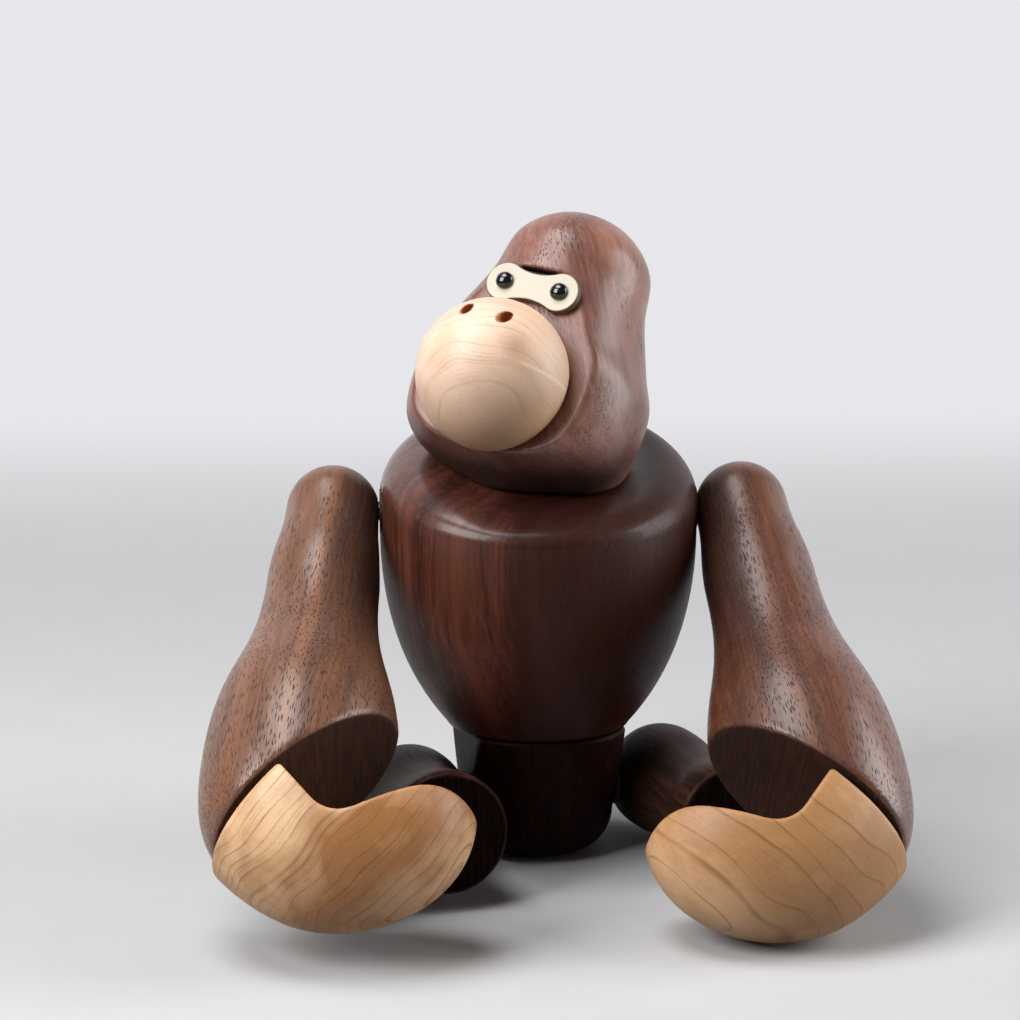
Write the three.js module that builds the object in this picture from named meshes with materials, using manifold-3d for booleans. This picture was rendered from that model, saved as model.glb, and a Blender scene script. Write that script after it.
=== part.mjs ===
// Seated wooden gorilla figure with turning joints.
// Millimetres, +Z up, the chest faces -Y, the pelvis stands on z = 0.
// Left and right are the viewer's, looking at the chest.
import * as THREE from 'three';
import { mergeVertices } from 'three/addons/utils/BufferGeometryUtils.js';
import Module from 'manifold-3d';

const wasm = await Module();
wasm.setup();

const radians = THREE.MathUtils.degToRad;

// Fits
const GAP = 0.3; // between faces that meet, and round pins in their bores
const BORE_END = 0.6; // past the end of a pin in a blind bore

// Pose of the photograph
const WAIST_TWIST = radians(14); // pelvis against chest
const HEAD_TURN = radians(-32);
const HIP_LIFT = { left: radians(5.5), right: radians(0) };
const ARM_SWING = { left: radians(51.2), right: radians(46.9) };
const WRIST_TURN = { left: radians(13.5), right: radians(2.7) };

// Pelvis
const PELVIS_HEIGHT = 34.2;
const PELVIS_TOP_RADIUS = 24;
const PELVIS_FOOT_RADIUS = 19.8;
const PELVIS_FOOT_ROUND = 11;
const HIP_FLAT_X = 20;
const HIP_Z = 15.6;

// Legs
const LEG_LENGTH = 45; // hip axis to sole
const KNEE_RADIUS = 14.5;
const LEG_FLAT_DEPTH = 1; // flat of the leg's ball against the hip
const LEG_SPLAY = radians(3.2);
const SHIN_RADIUS = 12.8;
const SOLE_RADIUS = 15.2;
const SOLE_ROUND = 1.8;
const SHIN_SHARE = 0.5; // place of the narrowest ring along the leg

// Torso
const TORSO_RADIUS = 41.1;
const TORSO_FOOT_RADIUS = 24;
const WIDEST_Z = 86;
const CHEST_Z = 105; // chest plane on the body axis
const CHEST_SLOPE = radians(16.5);
const CHEST_ROUND = 10;
const LEAN_START_Z = 62;
const BELLY_OUT = 0.55; // handles of the belly's curve, as shares of its swell and rise
const BELLY_LOW = 0.22;
const BELLY_HIGH = 0.53;

// Arms
const ARM_TOP_RADIUS = 12;
const ARM_FLAT_DEPTH = 0.3; // flat of the arm's top against the chest
const FOREARM_RADIUS = 14.2;
const FOREARM_DOWN = 26.2; // from the shoulder axis
const BULB_RADIUS = 23.2;
const BULB_DOWN = 82.5;
const ARM_LENGTH = 112; // of the turned club, before the wrist cut
const ARM_END_FULLNESS = 0.75;
const ARM_SPLAY = radians(5.6);
const SHOULDER_Z = 90.6;
const WRIST_OUT = 6.6; // middle of the wrist cut, sideways from the shoulder
const WRIST_FROM_END = 23.2; // middle of the wrist cut above the club's end
const WRIST_TILT = radians(37);

// Hands
const HAND_LEAN = radians(23.2);
const HAND_RADIUS = 30.2;
const HAND_WIDEST = 9.2; // widest ring below the wrist cut
const HAND_LENGTH = 42.6;
const HAND_TOP = 34.4; // end of the turned egg above the wrist cut
const HAND_TIP_FULLNESS = 0.51;
const HAND_TOP_FULLNESS = 0.5;
const HAND_DEPTH_SHARE = 0.76; // front to back against side to side
const WRIST_GAP = 1.5;
const NOTCH_WALL = -2.8; // from the middle of the wrist cut, towards the fingers
const NOTCH_HEIGHT = 19.6;
const NOTCH_ROUND = 7;
const NOTCH_SLOPE = radians(15.4);
const FINGER_LENGTH = 31.7; // from the wall of the notch
const FINGER_ROUND = 12.8;
const FINGER_END_SLOPE = radians(21.8);

// Head
const FACE_SLOPE = radians(46.8);
const FACE_FRONT = 21.6; // middle of the muzzle's seat, from the neck axis
const FACE_UP = 28;
const HEAD_RADIUS = 30;
const CROWN_Y = 54.6; // end of the turned egg above the muzzle
const HEAD_OUTLINE_SHARES = [
  [0, -0.427], [0.57, -0.332], [0.84, -0.261], [0.98, -0.131], [1, 0.15],
  [0.862, 0.34], [0.691, 0.59], [0.602, 0.81], [0.343, 0.95], [0, 1],
]; // shares of the radius and of the crown's height
const HEAD_AXIS_DEPTH = 19.4; // turning axis of the head under the face
const MUZZLE_RADIUS = 18.9;
const MUZZLE_RISE = 5.5; // middle of the ball above the face
const NOSTRIL_RADIUS = 1.5;
const NOSTRIL_DEPTH = 4;
const NOSTRIL_LIFT = radians(32); // place of the nostril on the ball
const NOSTRIL_SPREAD = radians(18.8);
const NOSTRIL_DROOP = radians(14); // its bore against the ball's axis

// Eyes
const EYE_Y = 25.6;
const EYE_X = 7.6;
const PLATE_THICKNESS = 2;
const PLATE_END_RADIUS = 5.2;
const PLATE_CORNER = radians(60); // where the plate's round ends stop
const PLATE_WAIST = 3.6; // half height of the plate's middle
const EYE_RADIUS = 2.3;
const EYE_RISE = 1.7;
const EYE_SHANK_RADIUS = 0.8;
const EYE_SHANK_LENGTH = 7;

// Pins, bushes and washers
const PIN_RADIUS = 2.5;
const DOWEL_RADIUS = 4;
const BUSH_WALL = 1.5;
const BUSH_LENGTH = 12;
const PIN_IN_LIMB = 13;
const WASHER_THICKNESS = 1;
const WASHER_RIM = 3;
const NECK_WASHER_RADIUS = 11;
const NECK_PIN_UP = 18;
const NECK_PIN_DOWN = 18;
const WAIST_DOWEL_REACH = 15;
const WRIST_PIN_RADIUS = 2;
const WRIST_PIN_REACH = 12;
const WRIST_PIN_OUT = 9; // pin from the middle of the wrist cut, away from the fingers
const WRIST_WASHER_RADIUS = 6;
const MUZZLE_DOWEL_REACH = 9;

// Roundness of the meshes
const BODY_SIDES = 40;
const LIMB_SIDES = 28;
const PIN_SIDES = 16;
const HEAD_STEPS = 20;
const HAND_STEPS = 7;
const EGG_STEPS = 5;
const BOWL_STEPS = 6;
const LIMB_STEPS = 3;

const CUT_SIZE = 200; // larger than any piece
const WELD = 1e-4; // points closer than this are one

const walnut = () => new THREE.MeshStandardMaterial({ color: 0x5a3424, roughness: 0.5, metalness: 0 });
const maple = () => new THREE.MeshStandardMaterial({ color: 0xd6a670, roughness: 0.5, metalness: 0 });
const ivory = () => new THREE.MeshStandardMaterial({ color: 0xf0e0bd, roughness: 0.45, metalness: 0 });
const black = () => new THREE.MeshStandardMaterial({ color: 0x0a0a0a, roughness: 0.08, metalness: 0 });
const steel = () => new THREE.MeshStandardMaterial({ color: 0xb4b6b8, roughness: 0.35, metalness: 1 });
const nylon = () => new THREE.MeshStandardMaterial({ color: 0xe8e6df, roughness: 0.6, metalness: 0 });
const fibre = () => new THREE.MeshStandardMaterial({ color: 0x3a2a22, roughness: 0.8, metalness: 0 });

// Joins and cuts

function welded(geometry) {
  const bare = geometry.clone();
  bare.deleteAttribute('normal');
  bare.deleteAttribute('uv');
  return mergeVertices(bare, WELD);
}

function solid(geometry) {
  const merged = welded(geometry);
  const mesh = new wasm.Mesh({
    numProp: 3,
    vertProperties: new Float32Array(merged.attributes.position.array),
    triVerts: new Uint32Array(merged.index.array),
  });
  return new wasm.Manifold(mesh);
}

function surface(body) {
  const { vertProperties, triVerts } = body.getMesh();
  const geometry = new THREE.BufferGeometry();
  geometry.setAttribute('position', new THREE.BufferAttribute(new Float32Array(vertProperties), 3));
  geometry.setIndex(new THREE.BufferAttribute(new Uint32Array(triVerts), 1));
  geometry.computeVertexNormals();
  return geometry;
}

function cut(geometry, ...cutters) {
  return surface(cutters.reduce((body, cutter) => body.subtract(solid(cutter)), solid(geometry)));
}

function mirrored(geometry) {
  const copy = welded(geometry).scale(-1, 1, 1);
  copy.index.array.reverse();
  copy.computeVertexNormals();
  return copy;
}

// Basic shapes

// A body turned about Z, from a path of radius (x) and height (y) that starts and ends on the axis.
function turned(path, sides, steps) {
  const points = path.getPoints(steps);
  points[0].x = 0;
  points[points.length - 1].x = 0;
  return new THREE.LatheGeometry(points, sides).rotateX(Math.PI / 2);
}

// A round bar along Z from z = low to z = high.
function bar(radius, low, high, sides = PIN_SIDES) {
  return new THREE.CylinderGeometry(radius, radius, high - low, sides)
    .rotateX(Math.PI / 2)
    .translate(0, 0, (low + high) / 2);
}

// Closes a turned path from its widest ring to the axis.
function eggEnd(path, radius, from, to, fullness) {
  path.bezierCurveTo(radius, from + fullness * (to - from), fullness * radius, to, 0, to);
}

function ring(outer, inner, low, high) {
  const shape = new THREE.Shape().absarc(0, 0, outer, 0, 2 * Math.PI);
  shape.holes.push(new THREE.Path().absarc(0, 0, inner, 0, 2 * Math.PI, true));
  const options = { depth: high - low, bevelEnabled: false, curveSegments: PIN_SIDES / 2 };
  return new THREE.ExtrudeGeometry(shape, options).translate(0, 0, low);
}

// Everything above z = level.
function above(level) {
  return new THREE.BoxGeometry(CUT_SIZE, CUT_SIZE, CUT_SIZE).translate(0, 0, level + CUT_SIZE / 2);
}

// Turns a shape made along +Z to run along +X.
const alongX = (geometry) => geometry.rotateY(Math.PI / 2);

const object = new THREE.Group();

function add(parent, name, geometry, material) {
  const mesh = new THREE.Mesh(geometry, material);
  mesh.name = name;
  parent.add(mesh);
}

function frame(parent, position, rotation = [0, 0, 0]) {
  const group = new THREE.Group();
  group.position.set(...position);
  group.rotation.set(...rotation);
  parent.add(group);
  group.updateMatrix();
  return group;
}

const SIDES = [['left', -1], ['right', 1]];
const forSide = (sign, geometry) => (sign < 0 ? mirrored(geometry) : geometry);

// Seats shared by two pieces
const bushRadius = PIN_RADIUS + GAP + BUSH_WALL;
const washerRadius = PIN_RADIUS + GAP + WASHER_RIM;
const shoulderSeatX = TORSO_RADIUS - WASHER_THICKNESS - GAP;
const armFlatX = shoulderSeatX + WASHER_THICKNESS + 2 * GAP;
const shoulderX = armFlatX + ARM_TOP_RADIUS - ARM_FLAT_DEPTH;
const wristDown = ARM_LENGTH - WRIST_FROM_END;
const legFlatX = HIP_FLAT_X + WASHER_THICKNESS + 2 * GAP;
const hipX = legFlatX + KNEE_RADIUS - LEG_FLAT_DEPTH;
const torsoFootZ = PELVIS_HEIGHT + GAP;
const neckSeat = -(WASHER_THICKNESS + GAP);
const browY = EYE_Y + PLATE_END_RADIUS + GAP;

// A pin along X, from inside the body's bush to inside the limb, with its bush, washer and bores.
function pivotAlongX(seatX) {
  const pinLow = seatX - BUSH_LENGTH;
  const pinHigh = seatX + WASHER_THICKNESS + 2 * GAP + PIN_IN_LIMB;
  return {
    pin: alongX(bar(PIN_RADIUS, pinLow, pinHigh)),
    bush: alongX(ring(bushRadius, PIN_RADIUS + GAP, pinLow, seatX - GAP)),
    washer: alongX(ring(washerRadius, PIN_RADIUS + GAP, seatX + GAP, seatX + GAP + WASHER_THICKNESS)),
    bodyBore: alongX(bar(bushRadius + GAP, pinLow - BORE_END, seatX + CUT_SIZE)),
    limbBore: alongX(bar(PIN_RADIUS + GAP, seatX - CUT_SIZE, pinHigh + BORE_END)),
  };
}

// Pelvis

function makePelvis(hip) {
  const path = new THREE.Path();
  path.moveTo(0, 0);
  path.lineTo(PELVIS_FOOT_RADIUS - PELVIS_FOOT_ROUND, 0);
  path.absarc(PELVIS_FOOT_RADIUS - PELVIS_FOOT_ROUND, PELVIS_FOOT_ROUND, PELVIS_FOOT_ROUND, -Math.PI / 2, 0);
  path.lineTo(PELVIS_TOP_RADIUS, PELVIS_HEIGHT);
  path.lineTo(0, PELVIS_HEIGHT);
  const side = above(HIP_FLAT_X).rotateY(Math.PI / 2);
  const bore = hip.bodyBore.clone().translate(0, 0, HIP_Z);
  const dowelBore = bar(DOWEL_RADIUS + GAP, torsoFootZ - WAIST_DOWEL_REACH - BORE_END, CUT_SIZE);
  return cut(turned(path, BODY_SIDES, LIMB_STEPS), side, mirrored(side), bore, mirrored(bore), dowelBore);
}

// Legs: turned about an axis that runs forward from the hip

function makeLeg(hip) {
  const shinY = LEG_LENGTH * SHIN_SHARE;
  const rim = SOLE_RADIUS - SOLE_ROUND;
  const path = new THREE.Path();
  path.moveTo(0, -KNEE_RADIUS);
  path.absarc(0, 0, KNEE_RADIUS, -Math.PI / 2, 0);
  const swell = shinY / 2;
  path.bezierCurveTo(KNEE_RADIUS, swell, SHIN_RADIUS, swell, SHIN_RADIUS, shinY);
  const rimY = LEG_LENGTH - SOLE_ROUND;
  path.bezierCurveTo(SHIN_RADIUS, shinY + swell, SOLE_RADIUS, shinY + swell, SOLE_RADIUS, rimY);
  path.absarc(rim, rimY, SOLE_ROUND, 0, Math.PI / 2);
  path.lineTo(0, LEG_LENGTH);
  const body = turned(path, LIMB_SIDES, LIMB_STEPS)
    .rotateX(Math.PI / 2)
    .rotateZ(LEG_SPLAY)
    .translate(hipX, 0, 0);
  const inner = above(-legFlatX).rotateY(-Math.PI / 2);
  return cut(body, inner, hip.limbBore);
}

// Torso: a turned bowl whose top leans forward

function chestLean(geometry) {
  const position = geometry.attributes.position;
  for (let i = 0; i < position.count; i += 1) {
    const share = THREE.MathUtils.clamp((position.getZ(i) - LEAN_START_Z) / (CHEST_Z - LEAN_START_Z), 0, 1);
    position.setZ(i, position.getZ(i) + share * share * position.getY(i) * Math.tan(CHEST_SLOPE));
  }
  return geometry;
}

function makeTorso(shoulder, neckFrame) {
  const path = new THREE.Path();
  path.moveTo(0, torsoFootZ);
  path.lineTo(TORSO_FOOT_RADIUS, torsoFootZ);
  const rise = WIDEST_Z - torsoFootZ;
  const swell = TORSO_RADIUS - TORSO_FOOT_RADIUS;
  path.bezierCurveTo(
    TORSO_FOOT_RADIUS + BELLY_OUT * swell, torsoFootZ + BELLY_LOW * rise,
    TORSO_RADIUS, torsoFootZ + BELLY_HIGH * rise,
    TORSO_RADIUS, WIDEST_Z,
  );
  path.lineTo(TORSO_RADIUS, CHEST_Z - CHEST_ROUND);
  path.absarc(TORSO_RADIUS - CHEST_ROUND, CHEST_Z - CHEST_ROUND, CHEST_ROUND, 0, Math.PI / 2);
  path.lineTo(0, CHEST_Z);
  const bowl = chestLean(turned(path, BODY_SIDES, BOWL_STEPS));
  const spot = alongX(bar(washerRadius + GAP, shoulderSeatX, CUT_SIZE));
  const socket = surface(solid(shoulder.bodyBore).add(solid(spot))).translate(0, 0, SHOULDER_Z);
  const neckBore = bar(DOWEL_RADIUS + GAP + BUSH_WALL + GAP, -NECK_PIN_DOWN - BORE_END, CUT_SIZE);
  const neckSpot = bar(NECK_WASHER_RADIUS + GAP, neckSeat, CUT_SIZE, LIMB_SIDES);
  const neckSocket = surface(solid(neckBore).add(solid(neckSpot))).applyMatrix4(neckFrame.matrix);
  const dowelBore = bar(DOWEL_RADIUS + GAP, 0, torsoFootZ + WAIST_DOWEL_REACH + BORE_END);
  return cut(bowl, socket, mirrored(socket), neckSocket, dowelBore);
}

// Arms: a turned club, cut slantwise at the wrist

function makeArm(shoulder, wristFrame) {
  const path = new THREE.Path();
  path.moveTo(0, -ARM_TOP_RADIUS);
  path.absarc(0, 0, ARM_TOP_RADIUS, -Math.PI / 2, 0);
  const half = FOREARM_DOWN / 2;
  path.bezierCurveTo(ARM_TOP_RADIUS, half, FOREARM_RADIUS, half, FOREARM_RADIUS, FOREARM_DOWN);
  const middle = (FOREARM_DOWN + BULB_DOWN) / 2;
  path.bezierCurveTo(FOREARM_RADIUS, middle, BULB_RADIUS, middle, BULB_RADIUS, BULB_DOWN);
  eggEnd(path, BULB_RADIUS, BULB_DOWN, ARM_LENGTH, ARM_END_FULLNESS);
  const club = turned(path, LIMB_SIDES, EGG_STEPS)
    .rotateX(Math.PI)
    .rotateY(-ARM_SPLAY);
  const inner = above(-FOREARM_DOWN).translate(armFlatX - shoulderX - CUT_SIZE / 2, 0, 0);
  const pinBore = shoulder.limbBore.clone().translate(-shoulderX, 0, 0);
  const below = above(0).rotateX(Math.PI).applyMatrix4(wristFrame.matrix);
  const wristBore = bar(WRIST_PIN_RADIUS + GAP, -CUT_SIZE, WRIST_PIN_REACH + BORE_END)
    .translate(WRIST_PIN_OUT, 0, 0)
    .applyMatrix4(wristFrame.matrix);
  return cut(club, inner, pinBore, below, wristBore);
}

// Hands: a leaning egg under the wrist cut, with the hook's mouth cut out of it

function makeHand() {
  const path = new THREE.Path();
  path.moveTo(0, -HAND_TOP);
  const top = HAND_TOP_FULLNESS * (HAND_WIDEST + HAND_TOP);
  path.bezierCurveTo(
    HAND_TOP_FULLNESS * HAND_RADIUS, -HAND_TOP,
    HAND_RADIUS, HAND_WIDEST - top,
    HAND_RADIUS, HAND_WIDEST,
  );
  eggEnd(path, HAND_RADIUS, HAND_WIDEST, HAND_LENGTH, HAND_TIP_FULLNESS);
  const egg = turned(path, LIMB_SIDES, HAND_STEPS)
    .rotateX(Math.PI)
    .scale(1, HAND_DEPTH_SHARE, 1)
    .rotateY(HAND_LEAN);
  const reach = HAND_RADIUS + HAND_LENGTH;
  const mouth = new THREE.Shape();
  mouth.moveTo(NOTCH_WALL, -reach);
  mouth.lineTo(reach, -reach);
  mouth.lineTo(reach, reach);
  const floor = (fromWall) => NOTCH_HEIGHT + fromWall * Math.tan(NOTCH_SLOPE);
  const end = NOTCH_WALL + FINGER_LENGTH;
  const knuckle = floor(FINGER_LENGTH);
  mouth.lineTo(end - (reach - knuckle) * Math.tan(FINGER_END_SLOPE), reach);
  mouth.lineTo(end - FINGER_ROUND * Math.tan(FINGER_END_SLOPE), knuckle + FINGER_ROUND);
  mouth.quadraticCurveTo(end, knuckle, end - FINGER_ROUND, floor(FINGER_LENGTH - FINGER_ROUND));
  mouth.lineTo(NOTCH_WALL + NOTCH_ROUND, floor(NOTCH_ROUND));
  mouth.quadraticCurveTo(NOTCH_WALL, NOTCH_HEIGHT, NOTCH_WALL, NOTCH_HEIGHT - NOTCH_ROUND);
  const options = { depth: CUT_SIZE, bevelEnabled: false, curveSegments: BOWL_STEPS };
  const notch = new THREE.ExtrudeGeometry(mouth, options)
    .translate(0, 0, -CUT_SIZE / 2)
    .rotateX(-Math.PI / 2)
    .rotateZ(Math.PI);
  const pinBore = bar(WRIST_PIN_RADIUS + GAP, -WRIST_GAP - WRIST_PIN_REACH - BORE_END, CUT_SIZE)
    .translate(WRIST_PIN_OUT, 0, 0);
  return cut(egg, above(-WRIST_GAP), notch, pinBore);
}

// Head: a turned egg, cut flat for the face and for the neck

function makeHead(faceFrame) {
  const outline = HEAD_OUTLINE_SHARES.map(([out, up]) => new THREE.Vector2(out * HEAD_RADIUS, up * CROWN_Y));
  const profile = new THREE.SplineCurve(outline);
  const egg = turned(profile, BODY_SIDES, HEAD_STEPS)
    .rotateX(-Math.PI / 2)
    .translate(0, 0, -HEAD_AXIS_DEPTH);
  const face = above(0).translate(0, browY - CUT_SIZE / 2, 0);
  const muzzleBore = bar(DOWEL_RADIUS + GAP, -MUZZLE_DOWEL_REACH - BORE_END, CUT_SIZE);
  const shankBore = bar(EYE_SHANK_RADIUS + GAP, PLATE_THICKNESS + GAP - EYE_SHANK_LENGTH - BORE_END, CUT_SIZE)
    .translate(EYE_X, EYE_Y, 0);
  const shaped = cut(egg, face, muzzleBore, shankBore, mirrored(shankBore)).applyMatrix4(faceFrame.matrix);
  const under = above(-GAP).rotateX(Math.PI);
  const neckBore = bar(DOWEL_RADIUS + GAP, -CUT_SIZE, NECK_PIN_UP + BORE_END);
  return cut(shaped, under, neckBore);
}

function makeMuzzle() {
  const path = new THREE.Path();
  const seat = GAP - MUZZLE_RISE;
  const start = Math.asin(seat / MUZZLE_RADIUS);
  path.moveTo(0, seat);
  path.absarc(0, 0, MUZZLE_RADIUS, start, Math.PI / 2);
  const ball = turned(path, LIMB_SIDES, BOWL_STEPS).translate(0, 0, MUZZLE_RISE);
  const mouth = new THREE.Vector3(0, 0, MUZZLE_RADIUS)
    .applyEuler(new THREE.Euler(-NOSTRIL_LIFT, NOSTRIL_SPREAD, 0, 'YXZ'));
  const nostril = bar(NOSTRIL_RADIUS, -NOSTRIL_DEPTH, CUT_SIZE)
    .rotateX(NOSTRIL_DROOP)
    .translate(mouth.x, mouth.y, mouth.z + MUZZLE_RISE);
  const bore = bar(DOWEL_RADIUS + GAP, -CUT_SIZE, MUZZLE_DOWEL_REACH + BORE_END);
  return cut(ball, nostril, mirrored(nostril), bore);
}

function makeEyePlate() {
  const shape = new THREE.Shape();
  const cornerY = PLATE_END_RADIUS * Math.sin(PLATE_CORNER);
  const cornerX = EYE_X - PLATE_END_RADIUS * Math.cos(PLATE_CORNER);
  shape.absarc(EYE_X, 0, PLATE_END_RADIUS, PLATE_CORNER - Math.PI, Math.PI - PLATE_CORNER);
  shape.quadraticCurveTo(0, 2 * PLATE_WAIST - cornerY, -cornerX, cornerY);
  shape.absarc(-EYE_X, 0, PLATE_END_RADIUS, PLATE_CORNER, 2 * Math.PI - PLATE_CORNER);
  shape.quadraticCurveTo(0, cornerY - 2 * PLATE_WAIST, cornerX, -cornerY);
  const options = { depth: PLATE_THICKNESS, bevelEnabled: false, curveSegments: PIN_SIDES };
  const plate = new THREE.ExtrudeGeometry(shape, options).translate(0, EYE_Y, GAP);
  const hole = bar(EYE_SHANK_RADIUS + GAP, -CUT_SIZE / 2, CUT_SIZE / 2).translate(EYE_X, EYE_Y, 0);
  return cut(plate, hole, mirrored(hole));
}

// A bead with a shank that pins the plate to the face.
function makeEye() {
  const path = new THREE.Path();
  const seat = PLATE_THICKNESS + 2 * GAP;
  path.moveTo(0, seat - GAP - EYE_SHANK_LENGTH);
  path.lineTo(EYE_SHANK_RADIUS, seat - GAP - EYE_SHANK_LENGTH);
  path.lineTo(EYE_SHANK_RADIUS, seat);
  path.lineTo(EYE_RADIUS, seat);
  path.absellipse(0, seat, EYE_RADIUS, EYE_RISE, 0, Math.PI / 2, false, 0);
  return turned(path, PIN_SIDES, LIMB_STEPS).translate(EYE_X, EYE_Y, 0);
}

// Assembly

const hip = pivotAlongX(HIP_FLAT_X);
const shoulder = pivotAlongX(shoulderSeatX);
const pelvisFrame = frame(object, [0, 0, 0], [0, 0, WAIST_TWIST]);
const neckFrame = frame(object, [0, 0, CHEST_Z], [CHEST_SLOPE, 0, HEAD_TURN]);
const faceFrame = frame(neckFrame, [0, -FACE_FRONT, FACE_UP], [FACE_SLOPE, 0, 0]);

add(pelvisFrame, 'pelvis', makePelvis(hip), walnut());
add(object, 'torso', makeTorso(shoulder, neckFrame), walnut());
const waistDowel = bar(DOWEL_RADIUS, torsoFootZ - WAIST_DOWEL_REACH, torsoFootZ + WAIST_DOWEL_REACH);
add(object, 'waist_dowel', waistDowel, maple());

add(neckFrame, 'head', makeHead(faceFrame), walnut());
add(neckFrame, 'neck_dowel', bar(DOWEL_RADIUS, -NECK_PIN_DOWN, NECK_PIN_UP), maple());
const neckBush = ring(DOWEL_RADIUS + GAP + BUSH_WALL, DOWEL_RADIUS + GAP, -NECK_PIN_DOWN, neckSeat);
add(neckFrame, 'neck_bush', neckBush, nylon());
const neckWasherZ = neckSeat + GAP;
const neckWasher = ring(NECK_WASHER_RADIUS, DOWEL_RADIUS + GAP, neckWasherZ, neckWasherZ + WASHER_THICKNESS);
add(neckFrame, 'neck_washer', neckWasher, fibre());
add(faceFrame, 'muzzle', makeMuzzle(), maple());
add(faceFrame, 'muzzle_dowel', bar(DOWEL_RADIUS, -MUZZLE_DOWEL_REACH, MUZZLE_DOWEL_REACH), maple());
add(faceFrame, 'eye_plate', makeEyePlate(), ivory());

for (const [side, sign] of SIDES) {
  add(faceFrame, `eye_${side}`, forSide(sign, makeEye()), black());

  const legFrame = frame(pelvisFrame, [0, 0, HIP_Z], [-HIP_LIFT[side], 0, 0]);
  add(legFrame, `leg_${side}`, forSide(sign, makeLeg(hip)), walnut());
  add(legFrame, `hip_pin_${side}`, forSide(sign, hip.pin), steel());
  add(legFrame, `hip_bush_${side}`, forSide(sign, hip.bush), nylon());
  add(legFrame, `hip_washer_${side}`, forSide(sign, hip.washer), fibre());

  const swing = [-ARM_SWING[side], 0, 0];
  const pinFrame = frame(object, [0, 0, SHOULDER_Z], swing);
  add(pinFrame, `shoulder_pin_${side}`, forSide(sign, shoulder.pin), steel());
  add(pinFrame, `shoulder_bush_${side}`, forSide(sign, shoulder.bush), nylon());
  add(pinFrame, `shoulder_washer_${side}`, forSide(sign, shoulder.washer), fibre());

  const armFrame = frame(object, [sign * shoulderX, 0, SHOULDER_Z], swing);
  const rightWrist = frame(new THREE.Group(), [WRIST_OUT, 0, -wristDown], [0, WRIST_TILT, 0]);
  add(armFrame, `arm_${side}`, forSide(sign, makeArm(shoulder, rightWrist)), walnut());

  const wristFrame = frame(armFrame, [sign * WRIST_OUT, 0, -wristDown], [0, sign * WRIST_TILT, 0]);
  const pinPlace = [sign * WRIST_PIN_OUT, 0, 0];
  const handFrame = frame(wristFrame, pinPlace, [0, 0, sign * WRIST_TURN[side]]);
  const fromPin = (geometry) => forSide(sign, geometry.translate(-WRIST_PIN_OUT, 0, 0));
  add(handFrame, `hand_${side}`, fromPin(makeHand()), maple());
  const wristPin = bar(WRIST_PIN_RADIUS, -WRIST_GAP - WRIST_PIN_REACH, WRIST_PIN_REACH);
  add(handFrame, `wrist_pin_${side}`, wristPin, steel());
  const wristWasher = ring(WRIST_WASHER_RADIUS, WRIST_PIN_RADIUS + GAP, GAP - WRIST_GAP, -GAP);
  add(handFrame, `wrist_washer_${side}`, wristWasher, fibre());
}

export default object;
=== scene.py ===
import math

import bpy
import numpy as np
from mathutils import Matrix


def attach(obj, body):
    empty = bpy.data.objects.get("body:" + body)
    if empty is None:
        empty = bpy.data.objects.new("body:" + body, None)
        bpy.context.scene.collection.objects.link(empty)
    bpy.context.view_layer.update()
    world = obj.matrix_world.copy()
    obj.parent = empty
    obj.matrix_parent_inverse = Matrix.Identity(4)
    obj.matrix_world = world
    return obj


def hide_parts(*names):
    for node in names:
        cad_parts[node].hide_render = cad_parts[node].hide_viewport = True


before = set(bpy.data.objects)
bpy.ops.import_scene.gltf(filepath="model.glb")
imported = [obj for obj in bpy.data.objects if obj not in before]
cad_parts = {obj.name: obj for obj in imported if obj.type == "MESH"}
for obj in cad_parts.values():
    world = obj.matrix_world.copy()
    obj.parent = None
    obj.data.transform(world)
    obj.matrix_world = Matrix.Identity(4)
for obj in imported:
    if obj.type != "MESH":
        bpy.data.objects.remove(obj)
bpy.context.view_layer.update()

MM = 0.001
CM = 0.1  # grain is kept in centimetres
COARSE = 1.0


# Sizes of the figure in millimetres and radians, the same as the solids'

def degrees(angle):
    return math.radians(angle)


GAP = 0.3
SIDES = {"left": -1, "right": 1}

WAIST_TWIST = degrees(14)
HEAD_TURN = degrees(-32)
HIP_LIFT = {"left": degrees(5.5), "right": degrees(0)}
ARM_SWING = {"left": degrees(51.2), "right": degrees(46.9)}
WRIST_TURN = {"left": degrees(13.5), "right": degrees(2.7)}

PELVIS_HEIGHT, PELVIS_TOP, PELVIS_FOOT, PELVIS_ROUND = 34.2, 24.0, 19.8, 11.0
HIP_FLAT_X, HIP_Z = 20.0, 15.6
LEG_LENGTH, KNEE, SHIN, SOLE, SOLE_ROUND = 45.0, 14.5, 12.8, 15.2, 1.8
LEG_FLAT_DEPTH, LEG_SPLAY = 1.0, degrees(3.2)
TORSO, TORSO_FOOT, WIDEST_Z, CHEST_Z, CHEST_ROUND = 41.1, 24.0, 86.0, 105.0, 10.0
CHEST_SLOPE, LEAN_START_Z = degrees(16.5), 62.0
ARM_TOP, ARM_FLAT_DEPTH, FOREARM, FOREARM_DOWN = 12.0, 0.3, 14.2, 26.2
BULB, BULB_DOWN, ARM_LENGTH, ARM_SPLAY, SHOULDER_Z = 23.2, 82.5, 112.0, degrees(5.6), 90.6
WRIST_OUT, WRIST_FROM_END, WRIST_TILT, WRIST_GAP, WRIST_PIN_OUT = 6.6, 23.2, degrees(37), 1.5, 9.0
HAND_LEAN, HAND, HAND_WIDEST, HAND_LENGTH = degrees(23.2), 30.2, 9.2, 42.6
HAND_TOP, HAND_TIP_FULLNESS, HAND_DEPTH = 34.4, 0.51, 0.76
NOTCH_WALL, NOTCH_HEIGHT, NOTCH_ROUND, NOTCH_SLOPE = -2.8, 19.6, 7.0, degrees(15.4)
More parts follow.
